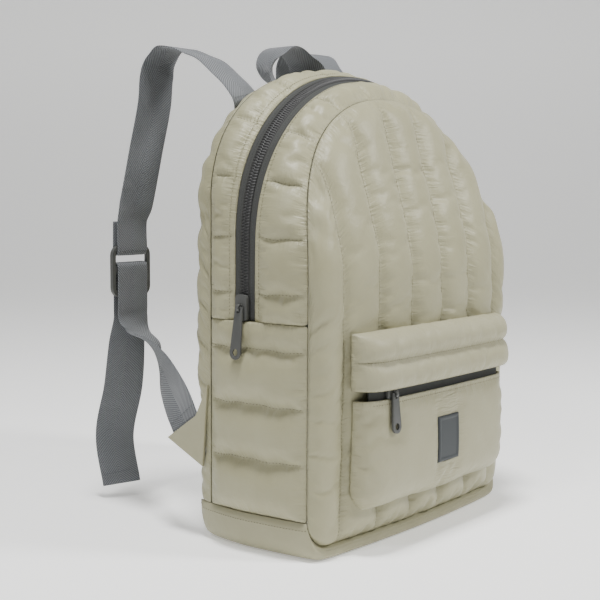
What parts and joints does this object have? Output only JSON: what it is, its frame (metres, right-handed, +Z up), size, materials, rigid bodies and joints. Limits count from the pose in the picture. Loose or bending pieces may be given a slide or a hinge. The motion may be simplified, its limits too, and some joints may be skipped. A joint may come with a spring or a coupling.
{
  "type": "quilted puffer backpack",
  "caption": "Padded, quilted backpack with an arched zip opening, a hooded front pocket with its own zip, webbing shoulder straps, a grab handle and a plain base.",
  "frame": {"origin": "centre of the base's underside, on the floor", "axes": "+Z up, -Y towards the front with the pocket, +X to the bag's right hand side as seen from the front"},
  "size_m": [0.3338, 0.3387, 0.4586],
  "materials": {
    "shell_nylon": "padded taffeta nylon, low sheen",
    "base_nylon": "plain taffeta nylon, low sheen",
    "pocket_nylon": "plain taffeta nylon, low sheen",
    "webbing": "twill webbing, matte",
    "zip_tape": "woven tape, matte",
    "zip_coil": "nylon coil",
    "hardware": "moulded, matte",
    "label": "moulded patch, matte"
  },
  "bodies": {
    "bag": {"gusset_front_arch": "shell_nylon", "gusset_rear_arch": "shell_nylon", "side_panel_left": "shell_nylon", "side_panel_right": "shell_nylon", "front_panel": "shell_nylon", "back_panel": "shell_nylon", "base_panel": "base_nylon", "main_zip_tape": "zip_tape", "main_zip_coil": "zip_coil", "main_zip_slider": "hardware", "pocket_body": "pocket_nylon", "pocket_hood": "shell_nylon", "pocket_zip_tape": "zip_tape", "pocket_zip_slider": "hardware", "label_patch": "label", "strap_upper_left": "webbing", "strap_adjuster_left": "hardware", "strap_lower_left": "webbing", "strap_tab_left": "pocket_nylon", "strap_upper_right": "webbing", "strap_adjuster_right": "hardware", "strap_lower_right": "webbing", "strap_tab_right": "pocket_nylon", "grab_handle": "webbing"},
    "main_pull": {"main_pull_tab": "hardware"},
    "pocket_pull": {"pocket_pull_tab": "hardware"}
  },
  "joints": [
    {"name": "main_pull_swing", "type": "hinge", "parent": "bag", "child": "main_pull", "pos_m": [-0.16348, 0.01403, 0.2116], "axis": [0, 1, 0], "range_deg": [0, 150]},
    {"name": "pocket_pull_swing", "type": "hinge", "parent": "bag", "child": "pocket_pull", "pos_m": [-0.082, -0.09084, 0.1395], "axis": [-1, 0, 0], "range_deg": [0, 120]}
  ]
}
